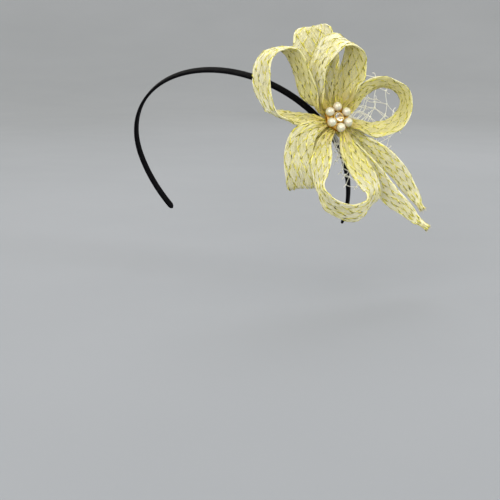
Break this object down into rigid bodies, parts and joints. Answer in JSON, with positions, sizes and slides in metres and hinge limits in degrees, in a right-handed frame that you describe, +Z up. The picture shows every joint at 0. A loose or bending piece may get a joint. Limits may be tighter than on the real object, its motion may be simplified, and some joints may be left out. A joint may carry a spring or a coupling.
{
  "type": "fascinator",
  "caption": "Fascinator of cream crinoline ribbon loops and tied tails round a pearl and stone brooch, with a patch of net, on a narrow black satin headband.",
  "frame": {"origin": "middle of the headband's crown, on the inner face that rests on the head", "axes": "+Z up, the wearer faces -Y, +X is the wearer's left, where the flower sits"},
  "size_m": [0.2277, 0.1041, 0.1404],
  "materials": {
    "satin": "black satin over a sprung core",
    "crinoline": "cream braided crinoline with gold thread",
    "net": "cream knotted veil net",
    "felt": "cream felt",
    "gold": "polished gold-coloured metal",
    "pearl": "lustrous pearl coat",
    "stone": "clear cut glass"
  },
  "bodies": {
    "root": {"headband": "satin", "base_disc": "felt", "gather_knot": "crinoline", "veil_net": "net", "loop_left": "crinoline", "loop_top_back": "crinoline", "loop_top_front": "crinoline", "loop_right": "crinoline", "petal_lower_left": "crinoline", "loop_bottom": "crinoline", "tail_upper": "crinoline", "tail_lower": "crinoline", "brooch_setting": "gold", "centre_stone": "stone", "pearl_1": "pearl", "pearl_2": "pearl", "pearl_3": "pearl", "pearl_4": "pearl", "pearl_5": "pearl", "pearl_6": "pearl"}
  },
  "joints": []
}
